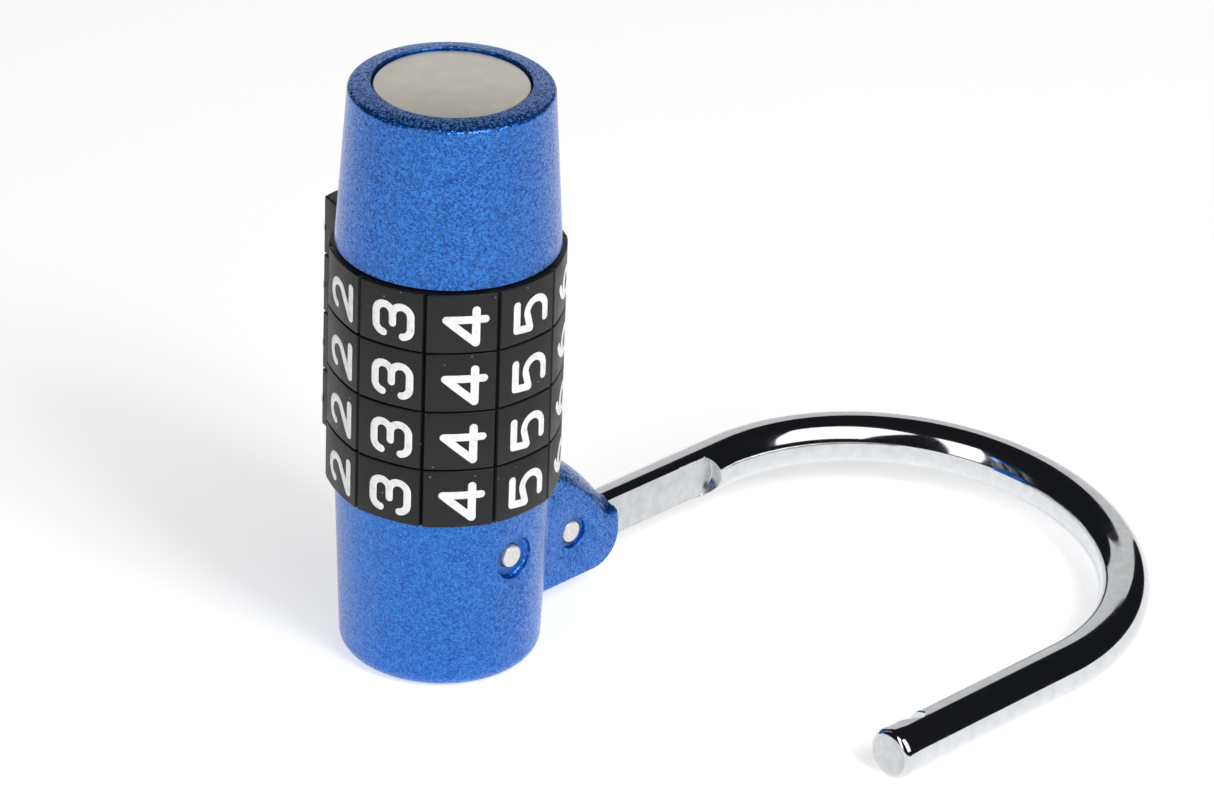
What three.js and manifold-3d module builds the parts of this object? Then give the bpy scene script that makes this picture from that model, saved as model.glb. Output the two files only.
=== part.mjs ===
// A four-dial barrel combination padlock, standing on its flat end.
// The shackle is pulled out and swung down.
// Millimetres. Z runs up the barrel from the middle of its base, X points along the heel leg of the shackle,
// and at rest the toe leg of the shackle lies on the -Y side.
import * as THREE from "three";
import { mergeVertices } from "three/addons/utils/BufferGeometryUtils.js";
import Module from "manifold-3d";

const wasm = await Module();
wasm.setup();

// Driving dimensions

// Shackle
const ROD_D = 6.35;
const LEG_SPACING = 58;
const TRAVEL = 21.3;
const BEND_START = 47.3;
const HEEL_END = 12.6;
const TOE_END = 17.3;
const TOE_CHAMFER = 0.9;
const HEEL_CHAMFER = 0.5;
const FLAT_HEIGHT = 1.4;
const FLAT_END = 44.6;
const NECK_R = 2;
const NOTCH_WALL = 6.4;
const NOTCH_DEPTH = 3.2;
const NOTCH_LEAD = 0.9;
const FLAT_SHOULDER = 0.35;

// Barrel
const LOWER_H = 22.85;
const UPPER_H = 20.35;
const BASE_R = 12.1;
const LOWER_TOP_R = 13;
const UPPER_BASE_R = 13.3;
const UPPER_TOP_R = 12.1;
const BASE_FILLET = 2;
const RIM_FILLET = 0.6;
const HEEL_Z = 7.25;

// Dials
const DIAL_COUNT = 4;
const DIGITS = 10;
const DIAL_H = 7.5;
const DIAL_GAP = 0.18;
const DIAL_CORNER_R = 14.05;
const FACET_CROWN = 0.44;
const GROOVE_W = 0.6;
const GROOVE_D = 0.35;
const LUG_R = 18.45;
const LUG_TIP_W = 6;
const LUG_BASE_W = 9.5;
const LUG_ANGLE = 90;
const LUG_ROOT = 0.6;

// Hubs inside the dials
const HUB_R = 9.05;
const HUB_KEYS = 5;
const HUB_KEY_R = 10;
const HUB_KEY_W = 1.8;
const RACE_R = 6.7;
const RACE_Z = 2.6;
const RACE_H = 2.2;
const CLICK_D = 0.4;
const CLICK_RISE = 1.3;
const CLICK_H = 1.6;
const HUB_KEY_ROOT = 1.5;
const ASSEMBLY_SLOT_ANGLE = -90;

// Core tube, spindle and their hardware
const CORE_R = 5;
const CORE_BORE_R = 2.35;
const FOOT_R = 2.6;
const FOOT_BOTTOM = 13.3;
const CORE_SHOULDER = 20.1;
const THREAD_R = 4.6;
const NUT_R = 7.2;
const NUT_H = 2.2;
const WASHER_R = 8.4;
const WASHER_H = 0.5;
const FIN_W = 1.6;
const FIN_H = 1.8;
const FIN_R = 6.4;
const NOSE_RISE = 1.35;
const NOSE_TIP_R = 0.75;
const SPINDLE_BOTTOM = 24;
const SPRING_WIRE = 0.4;
const SPRING_R = 1.7;
const SPRING_TURNS = 5;
const LEAF_T = 0.55;
const LEAF_W = 1.6;
const LEAF_INSET = 0.1;
const LEAF_BOTTOM = 0.5;
const LEAF_TAIL = 1.2;
const BUMP_FOOT = 0.6;
const BUMP_FLAT = 0.15;
const SPRING_SEAT_WALL = 0.6;

// End plug
const PLUG_R = 9.2;
const PLUG_H = 1.6;
const PLUG_RECESS = 0.3;
const PLUG_CHAMFER = 0.2;
const NUT_HEADROOM = 0.6;
const THREAD_STANDOUT = 0.2;
const NUT_CHAMFER = 0.8;
const NUT_POCKET = 1;

// Heel block, its pins and the guide button
const BLOCK_T = 9.2;
const BLOCK_BOTTOM = 3.4;
const BLOCK_REACH = 25.5;
const BLOCK_END_R = 4.2;
const NOSE_ROUND = 1.2;
const RIDGE_SLOPE = 37.4;
const RIDGE_Z = 20.6;
const CROWN_R = 5;
const CROWN_FLARE = 16.5;
const CROWN_LENGTH = 30;
const WEDGE_BACK = 6;
const WALL_OVERRUN = 8;
const TONGUE_BOTTOM = 12.6;
const TONGUE_TOP = 19.4;
const TONGUE_W = 8.8;
const TONGUE_IN = 5.2;
const TONGUE_OUT = 0.6;
const PIN_R = 1.4;
const PIN_CHAMFER = 0.25;
const BLOCK_PIN_SINK = 0.55;
const BLOCK_PIN_STOP = 2;
const RETAINING_PIN_SINK = 0.2;
const BLOCK_PIN_Z = 16.5;
const RETAINING_PIN_X = 17.5;
const RETAINING_PIN_Z = 10;
const SPOT_R = 2.65;
const SPOT_D = 1;
const PIN_RECESS = 0.35;
const PIN_RECESS_W = 0.6;
const BUTTON_H = 1.6;
const BUTTON_STEM_R = 1.2;
const BUTTON_STEM_L = 2.6;
const BUTTON_CHAMFER = 0.3;

// Named clearances
const BORE_FIT = 0.175;
const RUN_FIT = 0.15;
const SEAT_FIT = 0.15;
const STEM_FIT = 0.1;
const PIN_FIT = 0.08;
const FACE_FIT = 0.05;
const END_FIT = 0.1;
const FIN_FIT = 0.2;
const NECK_FIT = 0.2;
const HEEL_OVERRUN = 0.5;
const TOE_OVERRUN = 1.4;

// How far a cutting shape runs past the surface it cuts.
const CUT = 1;
const END_CUT = 0.2;

// Sizes that follow from them
const ROD_R = ROD_D / 2;
const HEEL_BORE_R = ROD_R + BORE_FIT;
const TOE_Z = HEEL_Z + LEG_SPACING;
const BEND_R = LEG_SPACING / 2;
const SWING = Math.asin((HEEL_Z - ROD_R) / LEG_SPACING);
const DIALS_Z = LOWER_H + DIAL_GAP;
const DIAL_PITCH = DIAL_H + DIAL_GAP;
const UPPER_Z = DIALS_Z + DIAL_COUNT * DIAL_PITCH;
const TOP_Z = UPPER_Z + UPPER_H;
const FACET_HALF = DIAL_CORNER_R * Math.sin(Math.PI / DIGITS);
const FACET_FLAT_R = DIAL_CORNER_R * Math.cos(Math.PI / DIGITS);
const PLUG_BOTTOM = TOP_Z - PLUG_RECESS - PLUG_H;
const NUT_Z = PLUG_BOTTOM - NUT_HEADROOM - NUT_H;
const CORE_TOP = NUT_Z + NUT_H + THREAD_STANDOUT;
const NECK_W = 2 * (PIN_R + NECK_FIT);
const LEAF_OUT = CORE_R - LEAF_INSET;
const SIDES = 48;
const BORE_SIDES = 24;
const SMALL_SIDES = 32;
const FINE_SIDES = 20;
const ROD_SIDES = 18;
const ROD_STEPS = 62;
const WIRE_SIDES = 6;
const STEPS_PER_TURN = 10;
const FACET_STEPS = 4;
const FILLET_STEPS = 6;
const RIM_STEPS = 4;
const ARCH_STEPS = 10;
const LUG_STEPS = 6;
const CURVE_STEPS = 8;

// Solids

function solid(geometry) {
  const bare = geometry.clone();
  bare.deleteAttribute("normal");
  bare.deleteAttribute("uv");
  const merged = mergeVertices(bare, 1e-4);
  return new wasm.Manifold(
    new wasm.Mesh({
      numProp: 3,
      vertProperties: new Float32Array(merged.attributes.position.array),
      triVerts: new Uint32Array(merged.index.array),
    }),
  );
}

function toGeometry(manifold) {
  const mesh = manifold.getMesh();
  const geometry = new THREE.BufferGeometry();
  geometry.setAttribute("position", new THREE.BufferAttribute(mesh.vertProperties, 3));
  geometry.setIndex(new THREE.BufferAttribute(mesh.triVerts, 1));
  return geometry.toNonIndexed();
}

// A solid turned about Z from [radius, z] points that start and end on the axis or close on themselves.
function turned(points, sides = SIDES) {
  const profile = points.map(([r, z]) => new THREE.Vector2(r, z));
  const geometry = new THREE.LatheGeometry(profile, sides);
  geometry.rotateX(Math.PI / 2);
  return solid(geometry);
}

function rod(radius, from, to, sides = SIDES) {
  return turned([[0, from], [radius, from], [radius, to], [0, to]], sides);
}

function ring(inner, outer, from, to, sides = SIDES) {
  return turned([[inner, from], [outer, from], [outer, to], [inner, to], [inner, from]], sides);
}

// The same shapes laid along X or Y, centred on (y, z) or (x, z).
function alongX(body, y, z) {
  return body.rotate([0, 90, 0]).translate([0, y, z]);
}

function alongY(body, x, z) {
  return body.rotate([-90, 0, 0]).translate([x, 0, z]);
}

function box(low, high) {
  const size = high.map((h, i) => h - low[i]);
  const geometry = new THREE.BoxGeometry(...size);
  geometry.translate(...low.map((l, i) => l + size[i] / 2));
  return solid(geometry);
}

function extruded(shape, from, to) {
  const options = { depth: to - from, bevelEnabled: false, curveSegments: CURVE_STEPS };
  const geometry = new THREE.ExtrudeGeometry(shape, options);
  geometry.translate(0, 0, from);
  return solid(geometry);
}

// An XZ outline given thickness along Y.
function slab(shape, halfWidth) {
  return extruded(shape, -halfWidth, halfWidth).rotate([90, 0, 0]);
}

function polygon(points) {
  return new THREE.Shape(points.map(([x, y]) => new THREE.Vector2(x, y)));
}

function circle(radius, sides) {
  return polygon(arc([0, 0], radius, 0, 360 - 360 / sides, sides - 1));
}

function arc(centre, radius, fromDeg, toDeg, steps) {
  return Array.from({ length: steps + 1 }, (_, i) => {
    const a = THREE.MathUtils.degToRad(fromDeg + ((toDeg - fromDeg) * i) / steps);
    return [centre[0] + radius * Math.cos(a), centre[1] + radius * Math.sin(a)];
  });
}

// Housings

function lowerRadius(z) {
  return BASE_R + ((LOWER_TOP_R - BASE_R) * (z - BASE_FILLET)) / (LOWER_H - BASE_FILLET);
}

function lowerHousing() {
  const fillet = arc([BASE_R - BASE_FILLET, BASE_FILLET], BASE_FILLET, -90, 0, FILLET_STEPS);
  const body = turned([[0, 0], ...fillet, [LOWER_TOP_R, LOWER_H], [0, LOWER_H]]);
  const outside = LOWER_TOP_R + CUT;
  const heelBore = rod(HEEL_BORE_R, heelBoreEnd(), outside, BORE_SIDES);
  const pinHole = rod(PIN_R + PIN_FIT, -outside, blockPinEnd() + PIN_FIT, BORE_SIDES);
  const spot = rod(SPOT_R, -outside, SPOT_D - lowerRadius(BLOCK_PIN_Z), SMALL_SIDES);
  return body
    .subtract(alongX(heelBore, 0, HEEL_Z))
    .subtract(tongue(SEAT_FIT))
    .subtract(rod(CORE_R + SEAT_FIT, CORE_SHOULDER - SEAT_FIT, LOWER_H + CUT, SMALL_SIDES))
    .subtract(rod(FOOT_R + SEAT_FIT, FOOT_BOTTOM - SEAT_FIT, LOWER_H, BORE_SIDES))
    .subtract(rod(WASHER_R + SEAT_FIT, LOWER_H - WASHER_H, LOWER_H + CUT, SMALL_SIDES))
    .subtract(alongY(pinHole, 0, BLOCK_PIN_Z))
    .subtract(alongY(spot, 0, BLOCK_PIN_Z));
}

function heelBoreEnd() {
  return HEEL_END - BUTTON_H - TRAVEL - HEEL_OVERRUN;
}

function blockPinEnd() {
  return lowerRadius(BLOCK_PIN_Z) - BLOCK_PIN_STOP;
}

function upperHousing() {
  const rim = arc([UPPER_TOP_R - RIM_FILLET, TOP_Z - RIM_FILLET], RIM_FILLET, 0, 90, RIM_STEPS);
  const body = turned([[0, UPPER_Z], [UPPER_BASE_R, UPPER_Z], ...rim, [0, TOP_Z]]);
  const toeBore = rod(HEEL_BORE_R, toeBoreEnd(), UPPER_BASE_R + CUT, BORE_SIDES);
  return body
    .subtract(alongX(toeBore, 0, TOE_Z))
    .subtract(rod(CORE_R + SEAT_FIT, UPPER_Z - CUT, NUT_Z + CUT, SMALL_SIDES))
    .subtract(rod(WASHER_R + SEAT_FIT, UPPER_Z - CUT, UPPER_Z + WASHER_H, SMALL_SIDES))
    .subtract(rod(NUT_R + NUT_POCKET, NUT_Z, TOP_Z + CUT, SMALL_SIDES))
    .subtract(rod(PLUG_R + SEAT_FIT, PLUG_BOTTOM, TOP_Z + CUT));
}

function toeBoreEnd() {
  return TOE_END - TRAVEL - TOE_OVERRUN;
}

function endPlug() {
  const top = TOP_Z - PLUG_RECESS;
  const bottom = PLUG_BOTTOM + FACE_FIT;
  return turned([
    [0, bottom],
    [PLUG_R, bottom],
    [PLUG_R, top - PLUG_CHAMFER],
    [PLUG_R - PLUG_CHAMFER, top],
    [0, top],
  ]);
}

// Heel block: an arched tongue that plugs into the lower housing, and a wedge outside it that carries the
// heel leg.

function tongue(grow) {
  const half = TONGUE_W / 2 + grow;
  const radius = CROWN_R + grow;
  const spring = Math.sqrt(radius ** 2 - half ** 2);
  const centre = TONGUE_TOP - CROWN_R;
  const swept = THREE.MathUtils.radToDeg(Math.atan2(spring, half));
  const arch = arc([0, centre], radius, swept, 180 - swept, ARCH_STEPS);
  const section = polygon([[-half, TONGUE_BOTTOM - grow], [half, TONGUE_BOTTOM - grow], ...arch]);
  const long = extruded(section, -TONGUE_IN - grow, lowerRadius(TONGUE_TOP) + TONGUE_OUT);
  return long.rotate([90, 0, 0]).rotate([0, 0, 90]);
}

function wedge() {
  const slope = THREE.MathUtils.degToRad(RIDGE_SLOPE);
  const start = LOWER_TOP_R;
  const back = start - WEDGE_BACK;
  const ridgeEnd = BLOCK_REACH - NOSE_ROUND;
  const ridge = (x) => RIDGE_Z - (x - start) * Math.tan(slope);
  const outline = new THREE.Shape();
  outline.moveTo(back, BLOCK_BOTTOM);
  outline.lineTo(BLOCK_REACH - BLOCK_END_R, BLOCK_BOTTOM);
  outline.absarc(BLOCK_REACH - BLOCK_END_R, BLOCK_BOTTOM + BLOCK_END_R, BLOCK_END_R, -Math.PI / 2, 0, false);
  outline.quadraticCurveTo(BLOCK_REACH, ridge(ridgeEnd) - NOSE_ROUND, ridgeEnd, ridge(ridgeEnd));
  outline.lineTo(back, ridge(back));
  outline.closePath();
  const prism = slab(outline, BLOCK_T / 2);
  return prism.intersect(crown(slope, start));
}

// The wedge's rounded top: a cone whose upper line is the ridge, with everything below its axis kept.
function crown(slope, start) {
  const flare = THREE.MathUtils.degToRad(CROWN_FLARE);
  const startR = CROWN_R - WEDGE_BACK * Math.sin(flare);
  const endR = startR + CROWN_LENGTH * Math.tan(flare);
  const cone = turned([[0, 0], [startR, 0], [endR, CROWN_LENGTH], [0, CROWN_LENGTH]]);
  const lower = box([0, -endR, 0], [endR + CROWN_LENGTH, endR, CROWN_LENGTH]);
  const along = slope + flare;
  const x = start - WEDGE_BACK * Math.cos(slope) - startR * Math.sin(along);
  const z = RIDGE_Z + WEDGE_BACK * Math.sin(slope) - startR * Math.cos(along);
  return cone.add(lower).rotate([0, 90 + THREE.MathUtils.radToDeg(along), 0]).translate([x, 0, z]);
}

function heelBlock() {
  const wallTop = LOWER_H + WALL_OVERRUN;
  const wall = turned([
    [0, -CUT],
    [lowerRadius(-CUT) + SEAT_FIT, -CUT],
    [lowerRadius(wallTop) + SEAT_FIT, wallTop],
    [0, wallTop],
  ]);
  const side = BLOCK_T / 2 + CUT;
  const recess = BLOCK_T / 2 - PIN_RECESS;
  const pinHole = rod(PIN_R + PIN_FIT, -side, side, BORE_SIDES);
  const ringR = PIN_R + PIN_RECESS_W;
  const recesses = rod(ringR, -side, -recess, BORE_SIDES).add(rod(ringR, recess, side, BORE_SIDES));
  return wedge()
    .subtract(wall)
    .add(tongue(0))
    .subtract(heelBoreThroughBlock())
    .subtract(rod(FOOT_R + SEAT_FIT, TONGUE_BOTTOM - CUT, TONGUE_TOP + CUT, BORE_SIDES))
    .subtract(alongY(pinHole, 0, BLOCK_PIN_Z))
    .subtract(alongY(pinHole.add(recesses), RETAINING_PIN_X, RETAINING_PIN_Z));
}

function heelBoreThroughBlock() {
  return alongX(rod(HEEL_BORE_R, 0, BLOCK_REACH + CUT, BORE_SIDES), 0, HEEL_Z);
}

function chamferedPin(from, to) {
  const outline = [[0, from], [PIN_R - PIN_CHAMFER, from], [PIN_R, from + PIN_CHAMFER], [PIN_R, to], [0, to]];
  return turned(outline, BORE_SIDES);
}

function heelBlockPin() {
  return alongY(chamferedPin(BLOCK_PIN_SINK - lowerRadius(BLOCK_PIN_Z), blockPinEnd()), 0, BLOCK_PIN_Z);
}

// The heel bore is drilled across the underside of this pin.
function retainingPin() {
  const half = BLOCK_T / 2 - RETAINING_PIN_SINK;
  const pin = alongY(chamferedPin(-half, half), RETAINING_PIN_X, RETAINING_PIN_Z);
  return pin.subtract(heelBoreThroughBlock());
}

// Shackle: drawn flat in the XY plane with the heel leg on the X axis, then swung down about that leg.

class ShacklePath extends THREE.Curve {
  getPoint(t, target = new THREE.Vector3()) {
    const heel = BEND_START - HEEL_END;
    const bend = Math.PI * BEND_R;
    const toe = BEND_START - TOE_END;
    const s = t * (heel + bend + toe);
    if (s < heel) return target.set(HEEL_END + s, 0, 0);
    if (s > heel + bend) return target.set(BEND_START - (s - heel - bend), -LEG_SPACING, 0);
    const a = (s - heel) / BEND_R;
    return target.set(BEND_START + BEND_R * Math.sin(a), -BEND_R * (1 - Math.cos(a)), 0);
  }
}

function shackle() {
  const section = circle(ROD_R, ROD_SIDES);
  const geometry = new THREE.ExtrudeGeometry(section, { steps: ROD_STEPS, extrudePath: new ShacklePath() });
  const flatStart = RETAINING_PIN_X + NECK_W / 2;
  const outside = ROD_R + CUT;
  const endR = Math.sqrt(ROD_R ** 2 - FLAT_HEIGHT ** 2) + FLAT_SHOULDER;
  const flatBox = box([flatStart, -outside, -outside], [FLAT_END - endR, -FLAT_HEIGHT, outside]);
  const flatEnd = alongY(rod(endR, -outside, -FLAT_HEIGHT, BORE_SIDES), FLAT_END - endR, 0);
  const neck = alongX(ring(NECK_R, outside, flatStart - NECK_W, flatStart, BORE_SIDES), 0, 0);
  const stemEnd = HEEL_END + BUTTON_STEM_L + STEM_FIT;
  const stemHole = rod(BUTTON_STEM_R + STEM_FIT, HEEL_END - CUT, stemEnd, FINE_SIDES);
  const shaped = solid(geometry)
    .subtract(flatBox.add(flatEnd))
    .subtract(neck)
    .subtract(endCut(HEEL_END, HEEL_CHAMFER))
    .subtract(alongX(stemHole, 0, 0))
    .subtract(endCut(TOE_END, TOE_CHAMFER).translate([0, -LEG_SPACING, 0]))
    .subtract(notch());
  return shaped.rotate([THREE.MathUtils.radToDeg(SWING), 0, 0]).translate([0, 0, HEEL_Z]);
}

// A collar that chamfers the end of a leg that starts at x and runs towards +X.
function endCut(x, chamfer) {
  const outer = ROD_R + CUT;
  const corner = ROD_R - chamfer - END_CUT;
  const low = x - END_CUT;
  const outline = [[corner, low], [outer, low], [outer, x + chamfer + CUT], [corner, low]];
  return alongX(turned(outline, BORE_SIDES), 0, 0);
}

// The locking notch: a steep wall on the bend side and a ramp that runs out near the tip.
function notch() {
  const inner = -LEG_SPACING + ROD_R;
  const wallX = TOE_END + NOTCH_WALL;
  const leadX = TOE_END + NOTCH_LEAD;
  const outside = inner + CUT;
  const outline = polygon([[leadX, inner], [wallX, inner - NOTCH_DEPTH], [wallX, outside], [leadX, outside]]);
  return extruded(outline, -ROD_R - CUT, ROD_R + CUT);
}

function heelButton() {
  const disc = ROD_R - FACE_FIT;
  const face = HEEL_END - END_FIT;
  const back = face - BUTTON_H;
  const stemEnd = HEEL_END + BUTTON_STEM_L;
  const outline = [
    [0, back],
    [disc - BUTTON_CHAMFER, back],
    [disc, back + BUTTON_CHAMFER],
    [disc, face],
    [BUTTON_STEM_R, face],
    [BUTTON_STEM_R, stemEnd],
    [0, stemEnd],
  ];
  return alongX(turned(outline, BORE_SIDES), 0, HEEL_Z);
}

// Dials

// One crowned facet between two grooves, seen from above, as points from its clockwise end.
function facet(middleDeg) {
  const half = FACET_HALF - GROOVE_W / 2;
  const bulge = (FACET_HALF ** 2 + FACET_CROWN ** 2) / (2 * FACET_CROWN);
  const points = [];
  for (let i = 0; i <= FACET_STEPS; i++) {
    const across = -half + (2 * half * i) / FACET_STEPS;
    const out = FACET_FLAT_R + FACET_CROWN - (bulge - Math.sqrt(bulge ** 2 - across ** 2));
    points.push(turn([out, across], middleDeg));
  }
  points.push(turn([DIAL_CORNER_R - GROOVE_D, 0], middleDeg + 180 / DIGITS));
  return points;
}

function turn([x, y], degrees) {
  const a = THREE.MathUtils.degToRad(degrees);
  return [x * Math.cos(a) - y * Math.sin(a), x * Math.sin(a) + y * Math.cos(a)];
}

function lug() {
  const base = FACET_FLAT_R - LUG_ROOT;
  const tip = THREE.MathUtils.radToDeg(Math.asin(LUG_TIP_W / 2 / LUG_R));
  const crest = arc([0, 0], LUG_R, -tip, tip, LUG_STEPS);
  const outline = [[base, -LUG_BASE_W / 2], ...crest, [base, LUG_BASE_W / 2]];
  return polygon(outline.map((p) => turn(p, LUG_ANGLE)));
}

function keyed(radius, keyRadius, keyWidth, from, to) {
  let body = rod(radius, from, to, SMALL_SIDES);
  for (let i = 0; i < HUB_KEYS; i++) {
    const key = box([radius - HUB_KEY_ROOT, -keyWidth / 2, from], [keyRadius, keyWidth / 2, to]);
    body = body.add(key.rotate([0, 0, 180 / DIGITS + (360 / HUB_KEYS) * i]));
  }
  return body;
}

function dial(index) {
  const from = DIALS_Z + index * DIAL_PITCH;
  const points = [];
  for (let i = 0; i < DIGITS; i++) points.push(...facet(LUG_ANGLE + (360 / DIGITS) * i));
  const body = extruded(polygon(points), from, from + DIAL_H).add(extruded(lug(), from, from + DIAL_H));
  const keyWidth = HUB_KEY_W + 2 * SEAT_FIT;
  const to = from + DIAL_H;
  return body.subtract(keyed(HUB_R + SEAT_FIT, HUB_KEY_R + SEAT_FIT, keyWidth, from - CUT, to + CUT));
}

// A hub rides on the core. Its race lets the spindle's fin stay still while the dial turns, and its gate lets
// the fin drop. A second slot a quarter turn back, between two clicks, lets the fin pass when the lock is put
// together.
function hub(index) {
  const from = hubZ(index);
  const to = from + DIAL_H - 2 * END_FIT;
  const bore = CORE_R + RUN_FIT;
  const halfSlot = FIN_W / 2 + FIN_FIT;
  let body = keyed(HUB_R, HUB_KEY_R, HUB_KEY_W, from, to)
    .subtract(rod(bore, from - CUT, to + CUT, SMALL_SIDES))
    .subtract(rod(RACE_R, from + RACE_Z, from + RACE_Z + RACE_H, SMALL_SIDES));
  for (const angle of [0, ASSEMBLY_SLOT_ANGLE]) {
    const slot = box([0, -halfSlot, from - CUT], [FIN_R + FIN_FIT, halfSlot, to + CUT]);
    body = body.subtract(slot.rotate([0, 0, angle]));
  }
  const across = LEAF_W / 2 + SEAT_FIT;
  const low = clickZ(index) - CLICK_H / 2;
  const click = box([bore - CUT, -across, low], [bore + CLICK_D, across, low + CLICK_H]);
  for (let i = 0; i < DIGITS; i++) {
    body = body.subtract(click.rotate([0, 0, (360 / DIGITS) * i]));
  }
  return body;
}

function hubZ(index) {
  return DIALS_Z + index * DIAL_PITCH + END_FIT;
}

function clickZ(index) {
  return hubZ(index) + RACE_Z + RACE_H + CLICK_RISE;
}

// Core and spindle

function coreTube() {
  const neckZ = NUT_Z - END_FIT;
  const outside = CORE_R + CUT;
  const body = turned([
    [0, FOOT_BOTTOM],
    [FOOT_R, FOOT_BOTTOM],
    [FOOT_R, CORE_SHOULDER],
    [CORE_R, CORE_SHOULDER],
    [CORE_R, neckZ],
    [THREAD_R, neckZ],
    [THREAD_R, CORE_TOP],
    [0, CORE_TOP],
  ], SMALL_SIDES);
  const finHalf = FIN_W / 2 + END_FIT;
  const finSlot = box([0, -finHalf, springFloor() + CORE_BORE_R], [outside, finHalf, UPPER_Z - CUT]);
  const leafHalf = LEAF_W / 2 + SEAT_FIT;
  const leafFloor = LEAF_T + SEAT_FIT - LEAF_OUT;
  const leafGroove = box([-outside, -leafHalf, DIALS_Z], [leafFloor, leafHalf, leafTop() + SEAT_FIT]);
  return body
    .subtract(rod(CORE_BORE_R, springFloor(), TOE_Z, BORE_SIDES))
    .subtract(alongX(rod(HEEL_BORE_R, -outside, outside, BORE_SIDES), 0, TOE_Z))
    .subtract(alongY(rod(PIN_R + PIN_FIT, -outside, outside, BORE_SIDES), 0, BLOCK_PIN_Z))
    .subtract(finSlot)
    .subtract(leafGroove);
}

function springFloor() {
  return BLOCK_PIN_Z + PIN_R + SPRING_SEAT_WALL;
}

function spindle() {
  const tip = TOE_Z - ROD_R + NOSE_RISE;
  const radius = CORE_BORE_R - RUN_FIT;
  const shoulder = tip - (radius - NOSE_TIP_R);
  let body = turned([
    [0, SPINDLE_BOTTOM],
    [radius, SPINDLE_BOTTOM],
    [radius, shoulder],
    [NOSE_TIP_R, tip],
    [0, tip],
  ], BORE_SIDES);
  for (let i = 0; i < DIAL_COUNT; i++) {
    const low = hubZ(i) + RACE_Z + (RACE_H - FIN_H) / 2;
    body = body.add(box([0, -FIN_W / 2, low], [FIN_R, FIN_W / 2, low + FIN_H]));
  }
  return body;
}

class Helix extends THREE.Curve {
  getPoint(t, target = new THREE.Vector3()) {
    const a = 2 * Math.PI * SPRING_TURNS * t;
    const low = springFloor() + SPRING_WIRE;
    const high = SPINDLE_BOTTOM - SPRING_WIRE;
    return target.set(SPRING_R * Math.cos(a), SPRING_R * Math.sin(a), low + (high - low) * t);
  }
}

function spindleSpring() {
  const section = circle(SPRING_WIRE / 2, WIRE_SIDES);
  const steps = STEPS_PER_TURN * SPRING_TURNS;
  return solid(new THREE.ExtrudeGeometry(section, { steps, extrudePath: new Helix() }));
}

// A comb leaf in a groove of the core, with one bump for each hub's clicks.
function indexSpring() {
  const inner = LEAF_T - LEAF_OUT;
  const crest = -CORE_R - CLICK_D;
  const bottom = DIALS_Z + LEAF_BOTTOM;
  const points = [[inner, bottom], [inner, leafTop()], [-LEAF_OUT, leafTop()]];
  for (let i = DIAL_COUNT - 1; i >= 0; i--) {
    const z = clickZ(i);
    points.push([-LEAF_OUT, z + BUMP_FOOT], [crest, z + BUMP_FLAT]);
    points.push([crest, z - BUMP_FLAT], [-LEAF_OUT, z - BUMP_FOOT]);
  }
  points.push([-LEAF_OUT, bottom]);
  return slab(polygon(points), LEAF_W / 2);
}

function leafTop() {
  return clickZ(DIAL_COUNT - 1) + LEAF_TAIL;
}

function coreNut() {
  const flat = NUT_R * Math.cos(Math.PI / 6);
  const blank = extruded(circle(NUT_R, 6), NUT_Z + FACE_FIT, NUT_Z + NUT_H);
  return blank
    .subtract(rod(THREAD_R + FACE_FIT, NUT_Z - CUT, TOP_Z, SMALL_SIDES))
    .intersect(rod(flat + NUT_CHAMFER, NUT_Z - CUT, TOP_Z, SMALL_SIDES));
}

function washer(from) {
  return ring(CORE_R + SEAT_FIT, WASHER_R, from, from + WASHER_H - FACE_FIT, SMALL_SIDES);
}

// Finishes

const paint = () => new THREE.MeshStandardMaterial({ color: "#2f63a8", roughness: 0.35, metalness: 0.6 });
const chrome = () => new THREE.MeshStandardMaterial({ color: "#d9dbde", roughness: 0.06, metalness: 1 });
const nickel = () => new THREE.MeshStandardMaterial({ color: "#b9b2a6", roughness: 0.4, metalness: 1 });
const steel = () => new THREE.MeshStandardMaterial({ color: "#c9cacb", roughness: 0.35, metalness: 1 });
const brass = () => new THREE.MeshStandardMaterial({ color: "#b08d4a", roughness: 0.4, metalness: 1 });
const black = () => new THREE.MeshStandardMaterial({ color: "#1f2021", roughness: 0.45, metalness: 0 });
const nylon = () => new THREE.MeshStandardMaterial({ color: "#e9e6dc", roughness: 0.6, metalness: 0 });

const padlock = new THREE.Group();

function add(name, body, material) {
  const mesh = new THREE.Mesh(toGeometry(body), material);
  mesh.name = name;
  padlock.add(mesh);
}

add("lower_housing", lowerHousing(), paint());
add("upper_housing", upperHousing(), paint());
add("end_plug", endPlug(), nickel());
add("heel_block", heelBlock(), paint());
add("heel_block_pin", heelBlockPin(), steel());
add("retaining_pin", retainingPin(), steel());
add("shackle", shackle(), chrome());
add("heel_button", heelButton(), nylon());
for (let i = 0; i < DIAL_COUNT; i++) {
  add("dial_" + (i + 1), dial(i), black());
  add("hub_" + (i + 1), hub(i), brass());
}
add("core_tube", coreTube(), steel());
add("core_nut", coreNut(), steel());
add("spindle", spindle(), brass());
add("spindle_spring", spindleSpring(), steel());
add("index_spring", indexSpring(), steel());
add("lower_washer", washer(LOWER_H - WASHER_H + FACE_FIT), steel());
add("upper_washer", washer(UPPER_Z), steel());

export default padlock;
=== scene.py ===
from math import asin, atan2, cos, degrees, hypot, pi, radians, sin, sqrt, tan

import bmesh
import bpy
from mathutils import Matrix, Vector


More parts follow.
